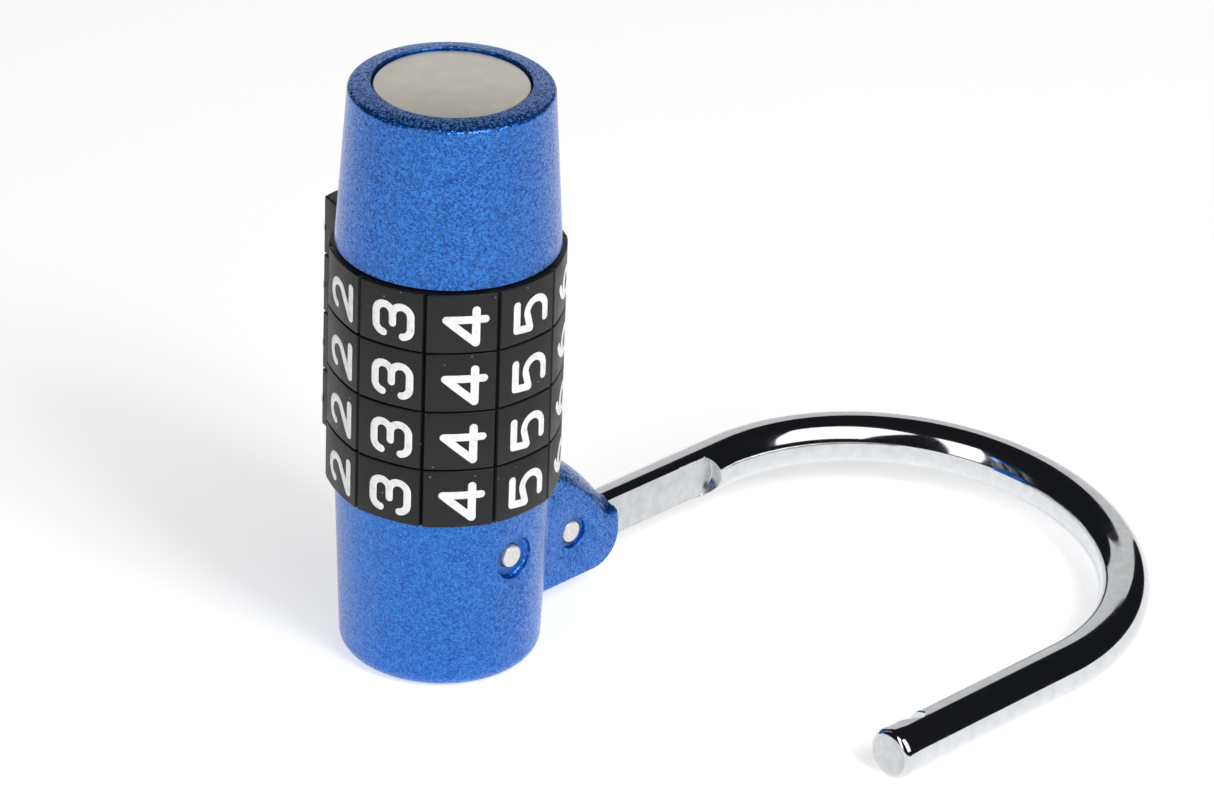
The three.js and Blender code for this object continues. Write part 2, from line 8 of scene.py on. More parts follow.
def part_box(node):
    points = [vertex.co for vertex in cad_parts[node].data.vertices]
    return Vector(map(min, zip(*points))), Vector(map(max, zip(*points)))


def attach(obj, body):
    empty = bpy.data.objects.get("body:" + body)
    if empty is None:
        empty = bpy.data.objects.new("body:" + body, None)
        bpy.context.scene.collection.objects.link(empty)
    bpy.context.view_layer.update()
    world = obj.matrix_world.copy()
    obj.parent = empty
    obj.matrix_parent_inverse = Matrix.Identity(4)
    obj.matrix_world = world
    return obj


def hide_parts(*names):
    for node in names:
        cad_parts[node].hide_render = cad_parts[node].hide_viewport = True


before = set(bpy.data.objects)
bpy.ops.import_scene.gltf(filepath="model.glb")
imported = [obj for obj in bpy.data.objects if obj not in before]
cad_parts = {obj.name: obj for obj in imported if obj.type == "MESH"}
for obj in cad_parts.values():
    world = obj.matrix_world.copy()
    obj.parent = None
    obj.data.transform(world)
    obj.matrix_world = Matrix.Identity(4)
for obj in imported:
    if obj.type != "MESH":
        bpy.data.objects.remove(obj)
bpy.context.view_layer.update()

# Shapes are modelled in millimetres and become metres when a piece is finished.
MM = 0.001
X, Y, Z = Vector((1, 0, 0)), Vector((0, 1, 0)), Vector((0, 0, 1))

# Sizes that the frame's boxes don't give

# Shackle. Its rod is a hair thinner than the frame's, so that it stays inside the frame's box.
ROD_D = 6.31
LEG_SPACING = 58.0
TOE_SHORTER = 4.7
TOE_CHAMFER = 0.9
HEEL_CHAMFER = 0.5
FLAT_HEIGHT = 1.4
FLAT_SHOULDER = 0.35
FLAT_END = 44.6
FLAT_SOFT = 0.14
NECK_R = 2.0
NECK_GAP = 0.2
STEM_R = 1.3
STEM_DEPTH = 2.7
NOTCH_WALL = 6.4
NOTCH_DEPTH = 3.2
NOTCH_LEAD = 0.9
NOTCH_ROOT_R = 1.1
NOTCH_LEAN = 0.35
NOTCH_SOFT = 0.25

# Housings, their plug and their pins
BASE_R = 12.1
BASE_FILLET = 2.0
UPPER_TOP_R = 12.1
RIM_FILLET = 0.6
RIM_DROP = 0.42
LIP = 0.2
BORE_FIT = 0.175
HEEL_BORE_DEPTH = 22.0
SOCKET_FLOOR_X = -5.4
CORE_SEAT_R = 5.15
CORE_SEAT_FLOOR = 19.95
WASHER_SEAT_R = 8.55
WASHER_SEAT_D = 0.5
NUT_POCKET_R = 8.2
NUT_SEAT_Z = 69.4
PLUG_FIT = 0.15
PLUG_GAP = 0.05
PLUG_ROUND = 0.3
MOUTH_ROUND = 0.15
SPOT_R = 2.65
SPOT_D = 1.0
SPOT_CORNER = 0.5
PIN_FIT = 0.08
PIN_ROUND = 0.25

# Heel block
BLOCK_T = 9.2
BLOCK_END_R = 4.2
NOSE_Z = 12.0
NOSE_ROUND = 1.2
NOSE_FLARE = 0.35
RIDGE_SLOPE = 41.2
RIDGE_Z = 22.1
RIDGE_LONG = 15.0
RIDGE_SAG = 0.8
CROWN_R = 4.64
CROWN_SPREAD = 1.5
CREASE_SOFT = 0.45
WEDGE_BACK = 5.0
WEDGE_SHOULDER = (1.1, 2.6)
WEDGE_KNEE = (18.0, 21.5)
WEDGE_TOP = 28.0
SEAT_FIT = 0.15
SEAT_RISE = 8.0
RECESS_W = 0.6
RECESS_D = 0.35

# The heel block's tongue, which fills a slot in the lower housing
TONGUE_W = 8.8
TONGUE_LOW = 12.6
TONGUE_HIGH = 19.4
TONGUE_R = 5.0
TONGUE_BACK = -5.2
TONGUE_ROOT = 1.4
TONGUE_FIT = 0.15
WELL_R = 2.75

# Dials. Their corners are drawn in a hair, so that they stay inside the frame's box.
DIGITS = 10
DIAL_CORNER_R = 14.03
DIAL_BORE_R = 10.2
FACET_CROWN = 0.44
GROOVE_W = 0.5
GROOVE_D = 0.45
LUG_ANGLE = 90
LUG_TIP_W = 6.0
LUG_ROOT_W = 8.4
LUG_ROOT_RISE = 0.1
DIAL_SOFT = 0.16
LUG_SOFT = 0.4

# Digits on the dials
DIGIT_TALL = 5.5
DIGIT_WIDE = 5.2
STROKE = 0.98
DIGIT_DROP = 0.35
DIGIT_SHIFT = 0.4
PAINT_RISE = 0.05
PAINT_ROOT = 0.15
STROKE_STEP = 0.004
FIRST_DIGIT_ANGLE = 90

# How finely round shapes are made
TURN_STEPS = 192
ROD_SIDES = 96
FINE_SIDES = 96
CAP_STEPS = 8

# How far a cutting shape runs past what it cuts, how far cut edges are rounded, and what counts as touching
CUT = 1.0
EDGE_SOFT = 0.12
NEAR = 0.01


def corners(node):
    """The lowest and highest corner of a frame node, in millimetres."""
    low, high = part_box(node)
    return low / MM, high / MM


LOWER_LOW, LOWER_HIGH = corners("lower_housing")
UPPER_LOW, UPPER_HIGH = corners("upper_housing")
PLUG_LOW, PLUG_HIGH = corners("end_plug")
BUTTON_LOW, BUTTON_HIGH = corners("heel_button")
SHACKLE_LOW, SHACKLE_HIGH = corners("shackle")
SPOT_PIN_LOW, SPOT_PIN_HIGH = corners("heel_block_pin")
CROSS_PIN_LOW, CROSS_PIN_HIGH = corners("retaining_pin")
BLOCK_LOW, BLOCK_HIGH = corners("heel_block")

ROD_R = ROD_D / 2
BORE_R = ROD_R + BORE_FIT
HEEL_Z = (BUTTON_LOW.z + BUTTON_HIGH.z) / 2
BEND_R = LEG_SPACING / 2
BEND_START = SHACKLE_HIGH.x - BEND_R - ROD_R
HEEL_END = SHACKLE_LOW.x
TOE_END = HEEL_END + TOE_SHORTER
SWING = asin((HEEL_Z - ROD_R) / LEG_SPACING)
TOE_SOCKET_Z = HEEL_Z + LEG_SPACING
BARREL_R = (LOWER_HIGH.y - LOWER_LOW.y) / 2
LOWER_TOP = LOWER_HIGH.z
UPPER_BASE_R = (UPPER_HIGH.y - UPPER_LOW.y) / 2
TOP = UPPER_HIGH.z
PLUG_R = (PLUG_HIGH.x - PLUG_LOW.x) / 2
PIN_R = (CROSS_PIN_HIGH.x - CROSS_PIN_LOW.x) / 2
SPOT_PIN_Z = (SPOT_PIN_LOW.z + SPOT_PIN_HIGH.z) / 2
CROSS_PIN_X = (CROSS_PIN_LOW.x + CROSS_PIN_HIGH.x) / 2
CROSS_PIN_Z = CROSS_PIN_HIGH.z - PIN_R
FLAT_START = CROSS_PIN_X + PIN_R + NECK_GAP
NECK_START = FLAT_START - 2 * PIN_R - 2 * NECK_GAP
NOTCH_END = TOE_END + NOTCH_WALL
BLOCK_HALF = BLOCK_T / 2
LUG_CREST = corners("dial_1")[1].y - 2 * PAINT_RISE
FACET_FLAT_R = DIAL_CORNER_R * cos(pi / DIGITS)
FACET_HALF = DIAL_CORNER_R * sin(pi / DIGITS)
FACET_BULGE_R = (FACET_HALF ** 2 + FACET_CROWN ** 2) / (2 * FACET_CROWN)
STROKE_HALF = STROKE / 2
REACH_X = (DIGIT_WIDE - STROKE) / 2
REACH_Y = (DIGIT_TALL - STROKE) / 2


# Shapes

def arc(centre, radius, start, end, steps):
    """Points on an arc in a plane, with its angles in degrees."""
    angles = [radians(start + (end - start) * i / steps) for i in range(steps + 1)]
    return [(centre[0] + radius * cos(a), centre[1] + radius * sin(a)) for a in angles]


def curve(start, bend, end, steps):
    """Points on a curve that is drawn towards its bend, without its start."""
    points = []
    for i in range(1, steps + 1):
        t = i / steps
        pulls = (1 - t) ** 2, 2 * t * (1 - t), t * t
        points.append(tuple(pulls[0] * a + pulls[1] * b + pulls[2] * c for a, b, c in zip(start, bend, end)))
    return points


def chain(bm, points):
    """A line of edges through the points."""
    verts = [bm.verts.new(p) for p in points]
    edges = [bm.edges.new(pair) for pair in zip(verts, verts[1:])]
    return verts + edges


def turned(profile, steps=TURN_STEPS):
    """A solid turned about Z from (radius, z) points."""
    bm = bmesh.new()
    line = chain(bm, [(r, 0, z) for r, z in profile])
    bmesh.ops.spin(bm, geom=line, axis=Z, cent=(0, 0, 0), angle=2 * pi, steps=steps, use_merge=True)
    bmesh.ops.remove_doubles(bm, verts=bm.verts, dist=1e-4)
    bmesh.ops.recalc_face_normals(bm, faces=bm.faces)
    return bm


def rod(radius, low, high, steps=64):
    """A round bar along Z."""
    return turned([(0, low), (radius, low), (radius, high), (0, high)], steps)


def extruded(outline, low, high):
    """A flat XY outline given height along Z."""
    bm = bmesh.new()
    face = bm.faces.new([bm.verts.new((x, y, low)) for x, y in outline])
    made = bmesh.ops.extrude_face_region(bm, geom=[face])
    top = [v for v in made["geom"] if isinstance(v, bmesh.types.BMVert)]
    bmesh.ops.translate(bm, verts=top, vec=(0, 0, high - low))
    bmesh.ops.recalc_face_normals(bm, faces=bm.faces)
    return bm


def placed(bm, matrix):
    bmesh.ops.transform(bm, matrix=matrix, verts=bm.verts)
    return bm


def along_x(bm, y, z):
    """Turns a shape made along Z to lie along X."""
    return placed(bm, Matrix.Translation((0, y, z)) @ Matrix.Rotation(pi / 2, 4, Y))


def along_y(bm, x, z):
    """Turns a shape made along Z to lie along Y."""
    return placed(bm, Matrix.Translation((x, 0, z)) @ Matrix.Rotation(-pi / 2, 4, X))


def block(low, high):
    """A box between its lowest and highest corner."""
    bm = bmesh.new()
    size = [end - start for start, end in zip(low, high)]
    centre = [(end + start) / 2 for start, end in zip(low, high)]
    bmesh.ops.create_cube(bm, size=1, matrix=Matrix.Translation(centre) @ Matrix.Diagonal((*size, 1)))
    return bm


def combined(bm, others, operation="DIFFERENCE"):
    """The solid with the others cut from it, joined to it or crossed with it."""
    objects = []
    for shape in [bm, *others]:
        mesh = bpy.data.meshes.new("shape")
        shape.to_mesh(mesh)
        shape.free()
        objects.append(bpy.data.objects.new("shape", mesh))
        bpy.context.scene.collection.objects.link(objects[-1])
    for other in objects[1:]:
        modifier = objects[0].modifiers.new("boolean", "BOOLEAN")
        modifier.object = other
        modifier.operation = operation
        modifier.solver = "EXACT"
    result = bmesh.new()
    result.from_object(objects[0], bpy.context.evaluated_depsgraph_get())
    for made in objects:
        mesh = made.data
        bpy.data.objects.remove(made)
        bpy.data.meshes.remove(mesh)
    return result


def softened(bm, width, chosen=lambda edge: True, steps=3, sharper_than=30, clamp=True):
    """Rounds the chosen edges that are sharper than an angle."""
    bmesh.ops.remove_doubles(bm, verts=bm.verts, dist=width / 8)
    edges = [
        e for e in bm.edges
        if len(e.link_faces) == 2 and e.calc_face_angle(0) > radians(sharper_than) and chosen(e)
    ]
    bmesh.ops.bevel(
        bm, geom=edges, offset=width, offset_type="OFFSET", segments=steps, profile=0.5,
        affect="EDGES", clamp_overlap=clamp, material=-1,
    )
    return bm


def middle(edge):
    """The middle point of an edge."""
    return (edge.verts[0].co + edge.verts[1].co) / 2


# Faces with this many sides or more are flat, so they aren't shaded smooth.
FLAT_FACE_SIDES = 24


def finished(name, bm, body, finishes, replaces=(), sharp=32):
    """Makes the shape a piece in metres that rides on a body."""
    bmesh.ops.recalc_face_normals(bm, faces=bm.faces)
    bmesh.ops.scale(bm, vec=(MM, MM, MM), verts=bm.verts)
    mesh = bpy.data.meshes.new(name)
    bm.to_mesh(mesh)
    bm.free()
    for finish in finishes:
        mesh.materials.append(finish)
    smooth = [len(face.vertices) < FLAT_FACE_SIDES for face in mesh.polygons]
    mesh.polygons.foreach_set("use_smooth", smooth)
    mesh.set_sharp_from_angle(angle=radians(sharp))
    piece = bpy.data.objects.new(name, mesh)
    bpy.context.scene.collection.objects.link(piece)
    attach(piece, body)
    if replaces:
        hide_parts(*replaces)
    return piece


# Materials

def linear(code):
    """An sRGB hex colour as linear RGBA."""
    parts = [int(code[i:i + 2], 16) / 255 for i in (1, 3, 5)]
    return (*[c / 12.92 if c <= 0.04045 else ((c + 0.055) / 1.055) ** 2.4 for c in parts], 1)


def feed(tree, node, inputs):
    """Gives a node's inputs values or other nodes' outputs."""
    for name, value in inputs.items():
        if isinstance(value, bpy.types.NodeSocket):
            tree.links.new(value, node.inputs[name])
        else:
            node.inputs[name].default_value = value


def add(tree, kind, inputs=None, **settings):
    """Adds a node with its settings and inputs."""
    node = tree.nodes.new(kind)
    for name, value in settings.items():
        setattr(node, name, value)
    feed(tree, node, inputs or {})
    return node


def material(name):
    """A new material's tree, its shader and its object coordinates."""
    made = bpy.data.materials.new(name)
    made.use_nodes = True
    tree = made.node_tree
    shader = tree.nodes["Principled BSDF"]
    place = add(tree, "ShaderNodeTexCoord").outputs["Object"]
    return made, tree, shader, place


def per_metre(size_mm):
    """A texture's scale, for features of that size."""
    return 1 / (size_mm * MM)


def two_tones(tree, factor, low, high, start=0.3, end=0.7):
    """Blends two sRGB colours by a factor."""
    ramp = add(tree, "ShaderNodeValToRGB", {"Fac": factor})
    ramp.color_ramp.elements[0].position = start
    ramp.color_ramp.elements[0].color = linear(low)
    ramp.color_ramp.elements[1].position = end
    ramp.color_ramp.elements[1].color = linear(high)
    return ramp.outputs["Color"]


def spread(tree, factor, low, high, start, end):
    """A factor's range from start to end, mapped to values from low to high."""
    ranged = add(tree, "ShaderNodeMapRange", {
        "Value": factor, "From Min": start, "From Max": end, "To Min": low, "To Max": high,
    })
    return ranged.outputs["Result"]


def noise(tree, place, size_mm, detail=2.0):
    return add(tree, "ShaderNodeTexNoise", {
        "Vector": place, "Scale": per_metre(size_mm), "Detail": detail,
    }).outputs["Fac"]


def bump(tree, height, depth_mm):
    return add(tree, "ShaderNodeBump", {
        "Height": height, "Distance": depth_mm * MM, "Strength": 1.0,
    }).outputs["Normal"]


FLAKE_SIZE = 0.2
FLAKE_TILT = 0.6
SPECK_SPACING = 1.9
SPECK_SHARE = 0.05
RING_PITCH = 0.4


def flake_normal(tree, random):
    """The surface's normal, leaned a different way in each flake."""
    centred = add(tree, "ShaderNodeVectorMath", {0: random, 1: (0.5, 0.5, 0.5)}, operation="SUBTRACT")
    tilt = add(tree, "ShaderNodeVectorMath", {
        0: centred.outputs[0], "Scale": FLAKE_TILT,
    }, operation="SCALE")
    surface = add(tree, "ShaderNodeNewGeometry").outputs["Normal"]
    leaned = add(tree, "ShaderNodeVectorMath", {0: surface, 1: tilt.outputs[0]})
    return add(tree, "ShaderNodeVectorMath", {0: leaned.outputs[0]}, operation="NORMALIZE").outputs[0]


def flake_enamel():
    """Metallic flake enamel under a clear coat: tilted aluminium flakes sparkle under a smooth gloss."""
    made, tree, shader, place = material("metallic flake enamel")
    flakes = add(tree, "ShaderNodeTexVoronoi", {"Vector": place, "Scale": per_metre(FLAKE_SIZE)})
    random = flakes.outputs["Color"]
    tone = add(tree, "ShaderNodeSeparateColor", {"Color": random}).outputs["Red"]
    feed(tree, shader, {
        "Base Color": two_tones(tree, tone, "#0f52ae", "#3583da", 0.05, 0.95),
        "Metallic": 0.9,
        "Roughness": 0.33,
        "Normal": flake_normal(tree, random),
        "Coat Weight": 0.45,
        "Coat Roughness": 0.05,
    })
    return made


def chrome_plate():
    """Bright chrome over drawn steel: a mirror with a faint wave left by the drawing and polishing."""
    made, tree, shader, place = material("bright chrome plate")
    smears = noise(tree, place, 1.4, 3.0)
    feed(tree, shader, {
        "Base Color": two_tones(tree, smears, "#dadcde", "#cfd1d3"),
        "Metallic": 1.0,
        "Roughness": spread(tree, smears, 0.07, 0.12, 0.4, 0.8),
        "Normal": bump(tree, noise(tree, place, 2.5, 1.0), 0.006),
    })
    return made


def plated_flat():
    """Chrome over a milled or sheared face: the plate follows the tool marks, so it looks hazy and light."""
    made, tree, shader, place = material("chrome plate on a milled face")
    marks = noise(tree, place, 1.8, 5.0)
    feed(tree, shader, {
        "Base Color": two_tones(tree, marks, "#bcbebf", "#d2d3d4"),
        "Metallic": 1.0,
        "Roughness": spread(tree, marks, 0.2, 0.32, 0.3, 0.7),
        "Normal": bump(tree, marks, 0.02),
    })
    return made


def dull_nickel():
    """Nickel-plated die casting: warm grey, clouded, with a slightly pitted skin."""
    made, tree, shader, place = material("dull nickel plate")
    clouds = noise(tree, place, 2.2, 5.0)
    feed(tree, shader, {
        "Base Color": two_tones(tree, clouds, "#e2ded2", "#f4f1e7", 0.35, 0.65),
        "Metallic": 1.0,
        "Roughness": spread(tree, clouds, 0.26, 0.42, 0.3, 0.7),
        "Normal": bump(tree, noise(tree, place, 0.7, 4.0), 0.01),
    })
    return made


def pin_steel():
    """Cut and tumbled steel wire: pale, nearly matt ends with small pits."""
    made, tree, shader, place = material("tumbled steel")
    grain = noise(tree, place, 0.35, 4.0)
    feed(tree, shader, {
        "Base Color": two_tones(tree, grain, "#d5d3ce", "#f2f0ec"),
        "Metallic": 0.55,
        "Roughness": 0.4,
        "Normal": bump(tree, grain, 0.03),
    })
    return made


def moulded_black():
    """Moulded ABS with a satin texture: near black, with fine grain and a few pale dust specks."""
    made, tree, shader, place = material("satin moulded plastic")
    scuffs = noise(tree, place, 3.0, 4.0)
    specks = add(tree, "ShaderNodeTexVoronoi", {"Vector": place, "Scale": per_metre(SPECK_SPACING)})
    speck = add(tree, "ShaderNodeMath", {
        0: specks.outputs["Distance"], 1: SPECK_SHARE,
    }, operation="LESS_THAN")
    colour = add(tree, "ShaderNodeMix", {"Factor": speck.outputs[0]}, data_type="RGBA")
    feed(tree, colour, {
        "A": two_tones(tree, scuffs, "#0f1012", "#18191b"),
        "B": linear("#8f9192"),
    })
    feed(tree, shader, {
        "Base Color": colour.outputs["Result"],
        "Roughness": spread(tree, scuffs, 0.36, 0.5, 0.3, 0.7),
        "Specular IOR Level": 0.35,
        "Normal": bump(tree, noise(tree, place, 0.18, 2.0), 0.008),
    })
    return made


def digit_paint():
    """Thick white filling enamel, wiped into the digits: bright, with an uneven level."""
    made, tree, shader, place = material("white filling enamel")
    level = noise(tree, place, 0.8, 2.0)
    feed(tree, shader, {
        "Base Color": two_tones(tree, level, "#e4e7ea", "#fbfbfb", 0.3, 0.5),
        "Roughness": 0.35,
        "Normal": bump(tree, level, 0.05),
    })
    return made


def turned_metal(name, dark, light, roughness):
    """A part turned on a lathe: fine rings across its axis."""
    made, tree, shader, place = material(name)
    rings = add(tree, "ShaderNodeTexWave", {
        "Vector": place, "Scale": per_metre(RING_PITCH) / (2 * pi), "Distortion": 0.6,
    }, bands_direction="Z")
    feed(tree, shader, {
        "Base Color": two_tones(tree, noise(tree, place, 1.5), dark, light),
        "Metallic": 1.0,
        "Roughness": roughness,
        "Normal": bump(tree, rings.outputs["Fac"], 0.01),
    })
    return made


def nylon():
    """Moulded natural nylon: creamy, matt and slightly clouded."""
    made, tree, shader, place = material("natural nylon")
    feed(tree, shader, {
        "Base Color": two_tones(tree, noise(tree, place, 1.2), "#dcd8ca", "#ece9de"),
        "Roughness": 0.55,
    })
    return made


ENAMEL = flake_enamel()
CHROME = chrome_plate()
MILLED = plated_flat()
NICKEL = dull_nickel()
PIN_STEEL = pin_steel()
BLACK = moulded_black()
WHITE = digit_paint()
BRASS = turned_metal("turned brass", "#a8853f", "#c9a65c", 0.32)
ZINC = turned_metal("turned zinc-plated steel", "#a9abad", "#c4c6c8", 0.35)
SPRING = turned_metal("spring steel", "#8d9196", "#a9adb1", 0.3)
NYLON = nylon()


# Housings

def barrel_wall(z):
    """The lower housing's radius at a height."""
    return BASE_R + (BARREL_R - BASE_R) * (z - BASE_FILLET) / (LOWER_TOP - BASE_FILLET)


def tongue_slot(outside):
    """The round-topped slot for the heel block's tongue."""
    half = TONGUE_W / 2 + TONGUE_FIT
    tunnel = along_x(rod(TONGUE_R + TONGUE_FIT, TONGUE_BACK - TONGUE_FIT, outside), 0, TONGUE_HIGH - TONGUE_R)
    sides = block((-BARREL_R, -half, TONGUE_LOW - TONGUE_FIT), (outside + CUT, half, LOWER_TOP + CUT))
    return combined(tunnel, [sides], "INTERSECT")


def lower_casting():
    """Tapered casting with a rounded foot, a spot face for its pin, and the bore of the heel leg."""
    foot = arc((BASE_R - BASE_FILLET, BASE_FILLET), BASE_FILLET, -90, 0, 16)
    lip = [(BARREL_R - LIP / 2, LOWER_TOP - LIP / 2), (BARREL_R - LIP, LOWER_TOP)]
    body = turned([(0, 0), *foot, *lip, (0, LOWER_TOP)])
    outside = BARREL_R + CUT
    bore = along_x(rod(BORE_R, BUTTON_LOW.x - HEEL_BORE_DEPTH, outside), 0, HEEL_Z)
    pin_hole = along_y(rod(PIN_R + PIN_FIT, -outside, SPOT_PIN_HIGH.y), 0, SPOT_PIN_Z)
    floor = SPOT_D - barrel_wall(SPOT_PIN_Z)
    corner = arc((SPOT_R - SPOT_CORNER, floor - SPOT_CORNER), SPOT_CORNER, 90, 0, 6)
    spot = turned([(0, -outside), (SPOT_R, -outside), *reversed(corner), (0, floor)], FINE_SIDES)
    core = rod(CORE_SEAT_R, CORE_SEAT_FLOOR, LOWER_TOP + CUT)
    washer = rod(WASHER_SEAT_R, LOWER_TOP - WASHER_SEAT_D, LOWER_TOP + CUT)
    spot_face = along_y(spot, 0, SPOT_PIN_Z)
    body = combined(body, [bore, pin_hole, spot_face, tongue_slot(outside), core, washer])

    def spot_edge(edge):
        place = middle(edge)
        return place.y < -9 and abs(place.z - SPOT_PIN_Z) < 4

    softened(body, EDGE_SOFT, spot_edge, clamp=False)
    finished("lower_housing_casting", body, "housing", [ENAMEL], ["lower_housing"])


def upper_casting():
    """Tapered casting with the toe socket, and a gently domed rim round the plug's seat in its top."""
    slope = degrees(atan2(RIM_DROP, UPPER_TOP_R - PLUG_R))
    rim = arc((UPPER_TOP_R - RIM_FILLET, TOP - RIM_DROP - RIM_FILLET), RIM_FILLET, 0, 90 - slope, 10)
    seat_r, seat_z = PLUG_R + PLUG_FIT, PLUG_LOW.z - PLUG_GAP
    mouth = arc((seat_r + MOUTH_ROUND, TOP - MOUTH_ROUND), MOUTH_ROUND, 90, 180, 5)
    seat = [(seat_r, seat_z), (NUT_POCKET_R, seat_z), (NUT_POCKET_R, NUT_SEAT_Z), (CORE_SEAT_R, NUT_SEAT_Z)]
    bottom, washer_z = UPPER_LOW.z, UPPER_LOW.z + WASHER_SEAT_D
    under = [(CORE_SEAT_R, washer_z), (WASHER_SEAT_R, washer_z), (WASHER_SEAT_R, bottom)]
    lip = [(UPPER_BASE_R - LIP, bottom), (UPPER_BASE_R, bottom + LIP)]
    profile = [*lip, *rim, *mouth, *seat, *under]
    body = turned([*profile, profile[0]])
    socket = along_x(rod(BORE_R, SOCKET_FLOOR_X, UPPER_BASE_R + CUT, FINE_SIDES), 0, TOE_SOCKET_Z)
    body = combined(body, [socket])

    def socket_edge(edge):
        place = middle(edge)
        return place.x > 9 and abs(place.z - TOE_SOCKET_Z) < 5

    softened(body, EDGE_SOFT, socket_edge, clamp=False)
    finished("upper_housing_casting", body, "housing", [ENAMEL], ["upper_housing"])


def plug_disc():
    """Cast disc with a rounded rim."""
    rim = arc((PLUG_R - PLUG_ROUND, PLUG_HIGH.z - PLUG_ROUND), PLUG_ROUND, 0, 90, 6)
    body = turned([(0, PLUG_LOW.z), (PLUG_R, PLUG_LOW.z), *rim, (0, PLUG_HIGH.z)])
    finished("end_plug_disc", body, "housing", [NICKEL], ["end_plug"])


# Heel block

def heel_wedge():
    """The block's side outline, as thick as its flat cheeks are apart."""
    back = BARREL_R - WEDGE_BACK
    reach, floor = BLOCK_HIGH.x, BLOCK_LOW.z
    ridge_end = reach - NOSE_ROUND
    under = arc((reach - BLOCK_END_R, floor + BLOCK_END_R), BLOCK_END_R, -90, 0, 24)
    nose = curve((reach, floor + BLOCK_END_R), (reach, NOSE_Z - NOSE_ROUND), (ridge_end, NOSE_Z), 12)
    shoulder = (ridge_end - WEDGE_SHOULDER[0], NOSE_Z + WEDGE_SHOULDER[1])
    outline = [(back, floor), *under, *nose, shoulder, WEDGE_KNEE, (back, WEDGE_TOP)]
    return placed(extruded(outline, -BLOCK_HALF, BLOCK_HALF), Matrix.Rotation(pi / 2, 4, X))


def crown_r(along):
    """The crown's radius at a distance along its ridge: it swells a little, then flares at the nose."""
    across = min(along / RIDGE_LONG, 1)
    beyond = max(along - RIDGE_LONG, 0)
    swell = 4 * RIDGE_SAG * across * (1 - across)
    return CROWN_R + CROWN_SPREAD * across + swell + NOSE_FLARE * beyond ** 2


def heel_crown():
    """A round crown that slopes down from the barrel to the nose, with all that lies below it."""
    steps = [-WEDGE_BACK + 2 * RIDGE_LONG * i / 60 for i in range(61)]
    cone = turned([(0, steps[0]), *[(crown_r(along), along) for along in steps], (0, steps[-1])])
    wide = RIDGE_LONG
    below = block((0, -wide, steps[0]), (2 * wide, wide, 3 * wide))
    crown = combined(cone, [below], "UNION")
    lean = radians(RIDGE_SLOPE) + atan2(CROWN_SPREAD, RIDGE_LONG)
    seat = Vector((BARREL_R - CROWN_R * sin(lean), 0, RIDGE_Z - CROWN_R * cos(lean)))
    return placed(crown, Matrix.Translation(seat) @ Matrix.Rotation(pi / 2 + lean, 4, Y))


def heel_cuts():
    """What is cut from the block: the barrel, the heel leg's bore, and the cross pin's hole and recesses."""
    top = LOWER_TOP + SEAT_RISE
    wall = [(barrel_wall(z) + SEAT_FIT, z) for z in (-CUT, top)]
    barrel = turned([(0, -CUT), *wall, (0, top)])
    bore = along_x(rod(BORE_R, 0, BLOCK_HIGH.x + CUT, FINE_SIDES), 0, HEEL_Z)
    outside = BLOCK_HALF + CUT
    hole = rod(PIN_R + PIN_FIT, -outside, outside)
    recesses = [
        rod(PIN_R + RECESS_W, -outside, RECESS_D - BLOCK_HALF),
        rod(PIN_R + RECESS_W, BLOCK_HALF - RECESS_D, outside),
    ]
    return [barrel, bore, *[along_y(shape, CROSS_PIN_X, CROSS_PIN_Z) for shape in [hole, *recesses]]]


def heel_tongue():
    """The round-topped tongue that holds the block in the lower housing."""
    front = BARREL_R + TONGUE_ROOT
    sides = block((TONGUE_BACK, -TONGUE_W / 2, TONGUE_LOW), (front, TONGUE_W / 2, TONGUE_HIGH))
    top = rod(TONGUE_R, TONGUE_BACK - CUT, front + CUT, FINE_SIDES)
    return combined(sides, [along_x(top, 0, TONGUE_HIGH - TONGUE_R)], "INTERSECT")


def from_cross_pin(place):
    return hypot(place.x - CROSS_PIN_X, place.z - CROSS_PIN_Z)


def recess_lip(edge):
    """Whether an edge of the block is where a pin's recess meets its cheek."""
    place = middle(edge)
    return abs(abs(place.y) - BLOCK_HALF) < NEAR and from_cross_pin(place) < PIN_R + RECESS_W + 0.2


def crease(edge):
    """Whether an edge of the block is one of its own, and not where something is cut from it."""
    place = middle(edge)
    clear_of_leg = hypot(place.y, place.z - HEEL_Z) > BORE_R + 0.2
    clear_of_barrel = hypot(place.x, place.y) > barrel_wall(place.z) + 0.4
    return clear_of_leg and clear_of_barrel and from_cross_pin(place) > PIN_R + 1


def heel_casting():
    """The wedge that carries the heel leg: flat cheeks under a round crown that slopes down to its nose."""
    body = combined(heel_wedge(), [heel_crown()], "INTERSECT")
    body = combined(body, heel_cuts())
    body = combined(body, [heel_tongue()], "UNION")
    well = rod(WELL_R, TONGUE_LOW - CUT, TONGUE_HIGH + CUT)
    pin_hole = along_y(rod(PIN_R + PIN_FIT, -TONGUE_W, TONGUE_W), 0, SPOT_PIN_Z)
    body = combined(body, [well, pin_hole])
    softened(body, EDGE_SOFT, recess_lip, sharper_than=50, clamp=False)
    softened(body, CREASE_SOFT, crease, steps=4, sharper_than=16, clamp=False)
    finished("heel_block_casting", body, "housing", [ENAMEL], ["heel_block"], sharp=40)


# Pins

def pin(low, high):
    """A cross pin with rounded ends."""
    start = arc((PIN_R - PIN_ROUND, low + PIN_ROUND), PIN_ROUND, -90, 0, 5)
    end = arc((PIN_R - PIN_ROUND, high - PIN_ROUND), PIN_ROUND, 0, 90, 5)
    return turned([(0, low), *start, *end, (0, high)], 64)


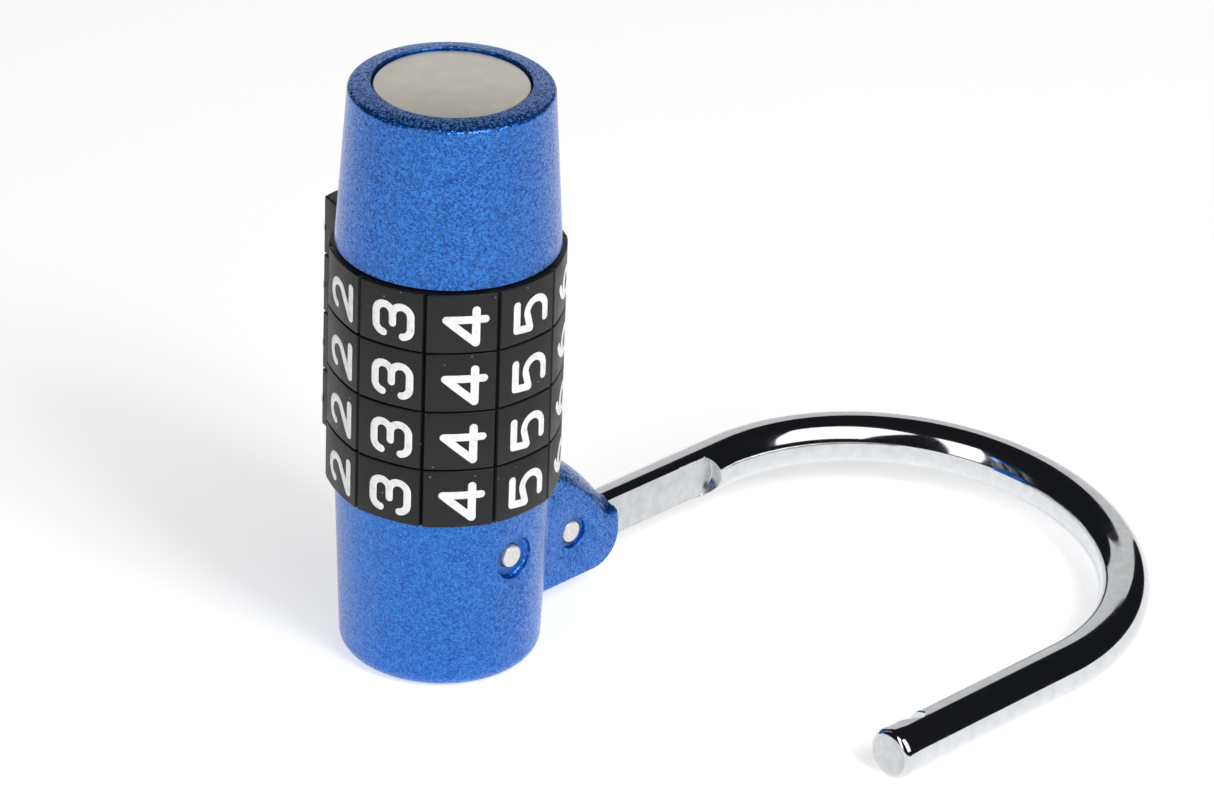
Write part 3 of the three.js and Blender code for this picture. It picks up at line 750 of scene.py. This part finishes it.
def pins():
    """The spot face's pin, and the cross pin, which the heel leg's bore cuts into."""
    spot_pin = along_y(pin(SPOT_PIN_LOW.y, SPOT_PIN_HIGH.y), 0, SPOT_PIN_Z)
    finished("spot_face_pin", spot_pin, "housing", [PIN_STEEL], ["heel_block_pin"])
    bore = along_x(rod(BORE_R, 0, BLOCK_HIGH.x + CUT, FINE_SIDES), 0, HEEL_Z)
    cross_pin = along_y(pin(CROSS_PIN_LOW.y, CROSS_PIN_HIGH.y), CROSS_PIN_X, CROSS_PIN_Z)
    cross_pin = combined(cross_pin, [bore])
    finished("heel_cross_pin", cross_pin, "housing", [PIN_STEEL], ["retaining_pin"])


# Shackle, made lying flat with its heel leg on the X axis and its toe leg towards -Y

def swept_rod():
    """The rod along its two legs and bend."""
    bm = bmesh.new()
    upright = Matrix.Translation((HEEL_END, 0, 0)) @ Matrix.Rotation(pi / 2, 4, Y)
    bmesh.ops.create_circle(bm, cap_ends=False, segments=ROD_SIDES, radius=ROD_R, matrix=upright)
    ring = bm.verts[:] + bm.edges[:]
    leg = BEND_START - HEEL_END
    ring = bmesh.ops.spin(bm, geom=ring, dvec=(leg / 12, 0, 0), axis=Z, angle=0, steps=12)["geom_last"]
    bend = (BEND_START, -BEND_R, 0)
    ring = bmesh.ops.spin(bm, geom=ring, cent=bend, axis=Z, angle=-pi, steps=120)["geom_last"]
    toe = BEND_START - TOE_END
    bmesh.ops.spin(bm, geom=ring, dvec=(-toe / 12, 0, 0), axis=Z, angle=0, steps=12)
    bmesh.ops.remove_doubles(bm, verts=bm.verts, dist=1e-4)
    bmesh.ops.holes_fill(bm, edges=[e for e in bm.edges if e.is_boundary], sides=ROD_SIDES)
    bmesh.ops.recalc_face_normals(bm, faces=bm.faces)
    return bm


def heel_leg_cuts(outside):
    """What is cut from the heel leg: the round-ended flat, the neck and the button stem's hole."""
    end_r = sqrt(ROD_R ** 2 - FLAT_HEIGHT ** 2) + FLAT_SHOULDER
    flat_run = block((FLAT_START, -outside, -outside), (FLAT_END - end_r, -FLAT_HEIGHT, outside))
    flat_end = along_y(rod(end_r, -outside, -FLAT_HEIGHT, FINE_SIDES), FLAT_END - end_r, 0)
    ring = [(NECK_R, NECK_START), (outside, NECK_START), (outside, FLAT_START), (NECK_R, FLAT_START)]
    neck = along_x(turned([*ring, ring[0]], FINE_SIDES), 0, 0)
    stem = along_x(rod(STEM_R, HEEL_END - CUT, HEEL_END + STEM_DEPTH, 32), 0, 0)
    return [flat_run, flat_end, neck, stem]


def toe_notch(outside):
    """The locking notch on the inner side of the toe leg."""
    inner = ROD_R - LEG_SPACING
    root = arc(
        (NOTCH_END - NOTCH_ROOT_R, inner - NOTCH_DEPTH + NOTCH_ROOT_R), NOTCH_ROOT_R, -90, -10, 8)
    start = TOE_END + NOTCH_LEAD
    outline = [(start, inner), *root, (NOTCH_END + NOTCH_LEAN, inner + CUT), (start, inner + CUT)]
    return extruded(outline, -outside, outside)


def at_end(x, y):
    """Picks the edges of the leg's end at a place."""
    return lambda edge: abs(middle(edge).x - x) < NEAR and abs(middle(edge).y - y) < ROD_R + 0.1


def heel_leg_edge(edge):
    return middle(edge).x > FLAT_START + 0.3 and middle(edge).y > -ROD_R


def notch_edge(edge):
    place = middle(edge)
    return -LEG_SPACING + 0.5 < place.y < -LEG_SPACING + 8 and place.x > NOTCH_END - 1


def is_milled(face):
    """Whether a face is the heel leg's flat or the toe's end."""
    place = face.calc_center_median()
    on_flat = face.normal.y < -0.9 and place.y > -FLAT_HEIGHT - 0.1 and FLAT_START < place.x < FLAT_END
    on_toe_end = face.normal.x < -0.9 and abs(place.x - TOE_END) < 0.2
    return on_flat or on_toe_end


def shackle():
    """Chromed rod with its flat, neck, locking notch and chamfered toe."""
    body = swept_rod()
    softened(body, TOE_CHAMFER, at_end(TOE_END, -LEG_SPACING), steps=5)
    softened(body, HEEL_CHAMFER, at_end(HEEL_END, 0), steps=2)
    outside = ROD_R + CUT
    body = combined(body, [*heel_leg_cuts(outside), toe_notch(outside)])
    softened(body, FLAT_SOFT, heel_leg_edge, clamp=False)
    softened(body, NOTCH_SOFT, notch_edge, clamp=False)
    for face in body.faces:
        face.material_index = int(is_milled(face))
    placed(body, Matrix.Translation((0, 0, HEEL_Z)) @ Matrix.Rotation(SWING, 4, X))
    finished("shackle_rod", body, "shackle", [CHROME, MILLED], ["shackle"], sharp=30)


# Dials

def facet_radius(across):
    """How far out a facet's crowned face is at a distance from its middle."""
    return FACET_FLAT_R + FACET_CROWN - FACET_BULGE_R + sqrt(FACET_BULGE_R ** 2 - across ** 2)


def turn(x, y, angle):
    """A point turned about the barrel by an angle in degrees."""
    way = radians(angle)
    return x * cos(way) - y * sin(way), x * sin(way) + y * cos(way)


def lug_outline():
    """The grip lug, drawn out along X."""
    tip = degrees(asin(LUG_TIP_W / 2 / LUG_CREST))
    root_x, root_y = FACET_FLAT_R + LUG_ROOT_RISE, LUG_ROOT_W / 2
    return [(root_x, -root_y), *arc((0, 0), LUG_CREST, -tip, tip, 10), (root_x, root_y)]


def facet_outline():
    """A crowned facet across X, without its grooves."""
    half = FACET_HALF - GROOVE_W / 2
    steps = [-half + 2 * half * k / 10 for k in range(11)]
    return [(facet_radius(across), across) for across in steps]


def dial_outline():
    """Ten facets parted by narrow grooves, one of them drawn out into the grip lug."""
    points = []
    for count in range(DIGITS):
        angle = LUG_ANGLE + 360 / DIGITS * count
        outline = facet_outline() if count else lug_outline()
        points += [turn(x, y, angle) for x, y in outline]
        points.append(turn(DIAL_CORNER_R - GROOVE_D, 0, angle + 180 / DIGITS))
    return points


def level(edge):
    return abs(edge.verts[0].co.z - edge.verts[1].co.z) < NEAR


def on_lug_crest(edge):
    return hypot(middle(edge).x, middle(edge).y) > LUG_CREST - 0.5


def dial(number):
    """Moulded ring with its rims and its lug's crest rounded."""
    low, high = corners(f"dial_{number}")
    body = extruded(dial_outline(), low.z, high.z)
    softened(body, DIAL_SOFT, level, sharper_than=60)
    softened(body, LUG_SOFT, on_lug_crest, steps=4)
    body = combined(body, [rod(DIAL_BORE_R, low.z - CUT, high.z + CUT, FINE_SIDES)])
    finished(f"dial_ring_{number}", body, f"dial_{number}", [BLACK], [f"dial_{number}"])


# Digits, drawn flat with x to the right, y up and z out of the face

def half_section(bm, place, side):
    """Half of a stroke's section, from its middle line out to one side."""
    shape = [
        (0, PAINT_RISE), (0.7, PAINT_RISE), (0.9, 0.7 * PAINT_RISE),
        (1, 0), (1, -PAINT_ROOT), (0, -PAINT_ROOT),
    ]
    return chain(bm, [place + side * STROKE_HALF * out + Z * rise for out, rise in shape])


def sweep(bm, geom, **how):
    """Spins or slides a section, and gives its last place."""
    return bmesh.ops.spin(bm, geom=geom, axis=Z, **how)["geom_last"]


def bar(start, end):
    """A straight stroke with round ends."""
    bm = bmesh.new()
    start, end = Vector((*start, 0)), Vector((*end, 0))
    run = end - start
    side = run.normalized().cross(Z)
    steps = max(2, round(run.length / 0.6))
    section = half_section(bm, start, -side)
    section = sweep(bm, section, cent=start, angle=pi, steps=CAP_STEPS)
    section = sweep(bm, section, angle=0, dvec=run / steps, steps=steps)
    section = sweep(bm, section, cent=end, angle=pi, steps=CAP_STEPS)
    sweep(bm, section, angle=0, dvec=-run / steps, steps=steps)
    return joined_up(bm)


def bow(centre, radius, start, end):
    """A curved stroke with round ends, turned from one angle to another."""
    bm = bmesh.new()
    sweep_angle = radians(end - start)
    steps = max(3, round(abs(end - start) / 12))
    centre = Vector((*centre, 0))
    if abs(end - start) == 360:
        for side in (-X, X):
            section = half_section(bm, centre + X * radius, side)
            sweep(bm, section, cent=centre, angle=sweep_angle, steps=steps)
        return joined_up(bm)
    ends = [centre + Vector((cos(radians(a)), sin(radians(a)), 0)) * radius for a in (start, end)]
    outward = (ends[0] - centre).normalized()
    way = 1 if sweep_angle > 0 else -1
    section = half_section(bm, ends[0], -way * outward)
    section = sweep(bm, section, cent=ends[0], angle=pi, steps=CAP_STEPS)
    section = sweep(bm, section, cent=centre, angle=sweep_angle, steps=steps)
    section = sweep(bm, section, cent=ends[1], angle=pi, steps=CAP_STEPS)
    sweep(bm, section, cent=centre, angle=-sweep_angle, steps=steps)
    return joined_up(bm)


def joined_up(bm):
    """Welds the ends of a stroke's halves together."""
    bmesh.ops.remove_doubles(bm, verts=bm.verts, dist=1e-3)
    bmesh.ops.dissolve_degenerate(bm, edges=bm.edges, dist=1e-4)
    bmesh.ops.recalc_face_normals(bm, faces=bm.faces)
    return bm


def digit_strokes(digit):
    """The strokes of each digit, in a plain rounded engraver's style."""
    a, b = REACH_X, REACH_Y
    return {
        0: lambda: [bow((0, b - 1.7), 1.7, 0, 180), bar((-1.7, b - 1.7), (-1.7, 1.7 - b)),
                    bow((0, 1.7 - b), 1.7, 180, 360), bar((1.7, b - 1.7), (1.7, 1.7 - b))],
        1: lambda: [bar((-0.9, b - 1.0), (0.4, b)), bar((0.4, b), (0.4, -b))],
        2: lambda: [bow((-0.1, b - 1.5), 1.5, 165, -38), bar((1.08, -0.16), (-a + 0.1, -b)),
                    bar((-a + 0.1, -b), (a - 0.2, -b))],
        3: lambda: [bow((-0.7, b - 1.1), 1.1, 90, 175), bar((-0.7, b), (0.75, b)),
                    bow((0.75, b - 1.1), 1.1, 90, -90), bar((-0.35, b - 2.2), (0.75, b - 2.2)),
                    bow((0.75, 1.16 - b), 1.16, 90, -90), bar((-0.8, -b), (0.75, -b)),
                    bow((-0.8, 1.1 - b), 1.1, 270, 185)],
        4: lambda: [bar((0.9, b), (0.9, -b)), bar((-a, -1.2), (a, -1.2)), bar((0.9, b), (-a, -1.2))],
        5: lambda: [bar((-1.6, b), (1.6, b)), bar((-1.6, b), (-1.85, 0.2)), bar((-1.85, 0.2), (0.15, 0.72)),
                    bow((0.2, 1.49 - b), 1.49, 95, -90), bar((-1.2, -b), (0.2, -b))],
        6: lambda: [bow((0, 1.5 - b), 1.5, 0, 360), bow((1.6, -0.6), 3.1, 180, 112)],
        7: lambda: [bar((-a + 0.2, b), (a - 0.1, b)), bar((a - 0.1, b), (-0.6, -b))],
        8: lambda: [bow((0, b - 1.1), 1.1, 0, 360), bow((0, 1.25 - b), 1.25, 0, 360)],
        9: lambda: [bow((0, b - 1.5), 1.5, 0, 360), bow((-1.6, 0.6), 3.1, 0, -68)],
    }[digit]()


def digit_shape(digit):
    """One flat digit, with each stroke a hair lower than the last so that no two share a face."""
    shape = bmesh.new()
    mesh = bpy.data.meshes.new(f"digit_{digit}")
    for count, stroke in enumerate(digit_strokes(digit)):
        bmesh.ops.translate(stroke, verts=stroke.verts, vec=-Z * STROKE_STEP * count)
        stroke.to_mesh(mesh)
        stroke.free()
        shape.from_mesh(mesh)
    shape.to_mesh(mesh)
    shape.free()
    return mesh


def dial_digits(number, shapes):
    """The ten digits of a dial, bent to its facets. Each reads along the barrel, with its top clockwise."""
    low, high = corners(f"dial_{number}")
    bm = bmesh.new()
    for digit in range(DIGITS):
        before = len(bm.verts)
        bm.from_mesh(shapes[digit])
        bm.verts.ensure_lookup_table()
        angle = FIRST_DIGIT_ANGLE + 360 / DIGITS * digit
        for vert in bm.verts[before:]:
            x, y, z = vert.co - Vector((DIGIT_DROP, DIGIT_SHIFT, 0))
            out = facet_radius(y) if digit else sqrt(LUG_CREST ** 2 - y ** 2)
            vert.co = (*turn(out + z, -y, angle), (low.z + high.z) / 2 + x)
    finished(f"dial_digits_{number}", bm, f"dial_{number}", [WHITE])


def inner_parts():
    """Finishes for the frame's own inner parts."""
    finishes = {
        "core_tube": ZINC, "core_nut": ZINC, "lower_washer": ZINC, "upper_washer": ZINC,
        "spindle": BRASS, "hub_1": BRASS, "hub_2": BRASS, "hub_3": BRASS, "hub_4": BRASS,
        "spindle_spring": SPRING, "index_spring": SPRING, "heel_button": NYLON,
    }
    for name, finish in finishes.items():
        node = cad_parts[name]
        node.data.materials.clear()
        node.data.materials.append(finish)


# Stage

AIM = Vector((0.030, -0.012, 0.030))
CAMERA_AZIMUTH = radians(-45.27)
CAMERA_ELEVATION = radians(28.40)
CAMERA_ROLL = radians(2.08)
CAMERA_PLACE = Vector((-0.46975, -0.49225, 0.40055))
LENS = 194.6
SENSOR_WIDTH = 36
FLOOR_REACH = 6.0
BACKDROP_DISTANCE = 2.2
BACKDROP_HEIGHT = 1.5


def camera():
    """The camera, turned by its three angles."""
    level_back = Vector((sin(CAMERA_AZIMUTH), -cos(CAMERA_AZIMUTH), 0))
    back = level_back * cos(CAMERA_ELEVATION) + Z * sin(CAMERA_ELEVATION)
    right = Vector((cos(CAMERA_AZIMUTH), sin(CAMERA_AZIMUTH), 0))
    up = back.cross(right)
    across = cos(CAMERA_ROLL) * right + sin(CAMERA_ROLL) * up
    upward = cos(CAMERA_ROLL) * up - sin(CAMERA_ROLL) * right
    lens = bpy.data.cameras.new("camera")
    lens.lens = LENS
    lens.sensor_width = SENSOR_WIDTH
    seat = bpy.data.objects.new("camera", lens)
    turned_to = Matrix((across, upward, back)).transposed().to_4x4()
    seat.matrix_world = Matrix.Translation(CAMERA_PLACE) @ turned_to
    bpy.context.scene.collection.objects.link(seat)
    bpy.context.scene.camera = seat


def direction(azimuth, elevation):
    """The way to a place round the padlock, from angles in degrees."""
    level_way = Vector((cos(radians(azimuth)), sin(radians(azimuth)), 0))
    return level_way * cos(radians(elevation)) + Z * sin(radians(elevation))


def softbox(name, azimuth, elevation, half_width, half_height, distance, radiance):
    """A rectangular light that fills those angles, seen from the padlock."""
    light = bpy.data.lights.new(name, "AREA")
    light.shape = "RECTANGLE"
    light.size = 2 * distance * tan(radians(half_width))
    light.size_y = 2 * distance * tan(radians(half_height))
    light.energy = radiance * pi * light.size * light.size_y
    lamp = bpy.data.objects.new(name, light)
    way = direction(azimuth, elevation)
    turned_to = way.to_track_quat("Z", "Y").to_matrix().to_4x4()
    lamp.matrix_world = Matrix.Translation(AIM + way * distance) @ turned_to
    bpy.context.scene.collection.objects.link(lamp)


def glowing(name, colour, strength, base):
    """A matt material that also gives off light."""
    made = bpy.data.materials.new(name)
    made.use_nodes = True
    feed(made.node_tree, made.node_tree.nodes["Principled BSDF"], {
        "Base Color": linear(base),
        "Roughness": 0.9,
        "Specular IOR Level": 0.0,
        "Emission Color": linear(colour),
        "Emission Strength": strength,
    })
    return made


def panel(name, corners_at, finish):
    """A flat sheet of the stage."""
    mesh = bpy.data.meshes.new(name)
    bm = bmesh.new()
    bm.faces.new([bm.verts.new(c) for c in corners_at])
    bm.to_mesh(mesh)
    bm.free()
    mesh.materials.append(finish)
    made = bpy.data.objects.new(name, mesh)
    bpy.context.scene.collection.objects.link(made)


def studio():
    """A white floor, a pale backdrop behind, two softboxes beside the camera and a dark room."""
    reach = FLOOR_REACH
    floor = [(-reach, -reach, 0), (reach, -reach, 0), (reach, reach, 0), (-reach, reach, 0)]
    panel("studio_floor", floor, glowing("white sweep", "#ffffff", 0.6, "#e9e9e9"))
    near, far = [direction(azimuth, 0) * BACKDROP_DISTANCE for azimuth in (17, 74)]
    backdrop = [near, far, far + Z * BACKDROP_HEIGHT, near + Z * BACKDROP_HEIGHT]
    panel("studio_backdrop", backdrop, glowing("pale backdrop", "#ffffff", 0.72, "#000000"))
    softbox(
        "key_softbox", azimuth=-95, elevation=42, half_width=24, half_height=26,
        distance=0.95, radiance=1.6)
    softbox(
        "key_centre", azimuth=-97, elevation=44, half_width=7, half_height=8,
        distance=0.9, radiance=14)
    softbox(
        "side_softbox", azimuth=-172, elevation=32, half_width=9.5, half_height=29,
        distance=0.95, radiance=1.9)
    world = bpy.data.worlds.new("dark room")
    world.use_nodes = True
    world.node_tree.nodes["Background"].inputs["Color"].default_value = linear("#1c1d20")
    bpy.context.scene.world = world
    bpy.context.scene.view_settings.view_transform = "Standard"


lower_casting()
upper_casting()
plug_disc()
heel_casting()
pins()
shackle()
digit_shapes = {digit: digit_shape(digit) for digit in range(DIGITS)}
for number in range(1, 5):
    dial(number)
    dial_digits(number, digit_shapes)
inner_parts()
camera()
studio()
